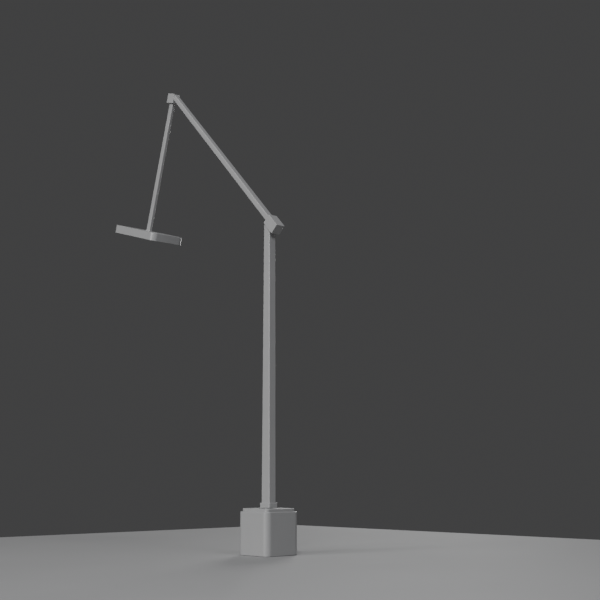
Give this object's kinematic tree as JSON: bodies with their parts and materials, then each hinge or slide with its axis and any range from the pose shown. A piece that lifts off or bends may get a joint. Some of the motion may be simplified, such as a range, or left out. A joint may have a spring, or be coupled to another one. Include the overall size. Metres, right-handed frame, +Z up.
{
  "type": "floor lamp",
  "caption": "Floor lamp: a square weighted base, a tapering post that swivels, a tilting arm, and a flat rectangular head on a thin rod hanging from the arm's tip.",
  "frame": {"origin": "centre of the base's underside, on the floor", "axes": "+Z up along the post; the arm reaches towards -X in the plane Y = 0; the cord gland faces +Y"},
  "size_m": [0.8874, 0.1437, 1.6817],
  "materials": {
    "base_paint": "satin light-grey powder coat on steel",
    "arm_paint": "satin light-grey powder coat on aluminium",
    "bare_steel": "turned, bare",
    "zinc_screw": "zinc plated",
    "iron_weight": "rough casting",
    "pad_rubber": "matt",
    "nylon": "matt, black",
    "gland_plastic": "matt, black",
    "driver_case": "moulded",
    "bare_alu": "mill finish",
    "board": "white solder mask",
    "led": "phosphor",
    "white_plastic": "moulded, white",
    "opal": "opal, satin",
    "switch_plastic": "moulded, black"
  },
  "bodies": {
    "base": {"floor_pad": "pad_rubber", "base_plate": "base_paint", "base_plate_screws": "zinc_screw", "ballast_block": "iron_weight", "base_shell": "base_paint", "tier_plate": "base_paint", "spindle": "bare_steel", "spindle_nut": "zinc_screw", "thrust_washer": "nylon", "swivel_washer": "bare_steel", "swivel_nut": "zinc_screw", "cord_gland": "gland_plastic", "led_driver": "driver_case"},
    "post": {"collar": "arm_paint", "collar_screws": "zinc_screw", "post_tube": "arm_paint", "post_head": "arm_paint"},
    "arm": {"knuckle_housing": "arm_paint", "knuckle_axle": "base_paint", "knuckle_nut": "zinc_screw", "knuckle_washers": "nylon", "arm_tube": "arm_paint", "arm_end": "arm_paint"},
    "hanger": {"tip_clevis": "arm_paint", "tip_axle": "base_paint", "tip_nut": "zinc_screw", "tip_washers": "nylon"},
    "lamp": {"rod_spacer": "nylon", "swivel_stud": "bare_steel", "stud_nut": "zinc_screw", "rod_tube": "arm_paint", "rod_foot": "arm_paint", "foot_screws": "zinc_screw", "head_housing": "arm_paint", "heat_plate": "bare_alu", "led_board": "board", "leds": "led", "reflector": "white_plastic", "diffuser": "opal", "bezel": "arm_paint", "bezel_screws": "zinc_screw", "switch_body": "switch_plastic"},
    "button": {"switch_button": "switch_plastic"}
  },
  "joints": [
    {"name": "base_swivel", "type": "hinge", "parent": "base", "child": "post", "pos_m": [0, 0, 0.157], "axis": [0, 0, 1], "range_deg": [-170, 170]},
    {"name": "arm_tilt", "type": "hinge", "parent": "post", "child": "arm", "pos_m": [0.021, 0, 1.0868], "axis": [0, 1, 0], "range_deg": [-15, 19]},
    {"name": "rod_tilt", "type": "hinge", "parent": "arm", "child": "hanger", "pos_m": [-0.5341, 0, 1.66565], "axis": [0, 1, 0], "range_deg": [-4, 60]},
    {"name": "rod_swivel", "type": "hinge", "parent": "hanger", "child": "lamp", "pos_m": [-0.54324, 0, 1.66822], "axis": [0.2706, 0, 0.9627], "range_deg": [-90, 90]},
    {"name": "switch_press", "type": "slide", "parent": "lamp", "child": "button", "axis": [0.2706, 0, 0.9627], "range_m": [0, 0.0012], "stiffness_N_per_m": 800, "springref_m": -0.001}
  ]
}
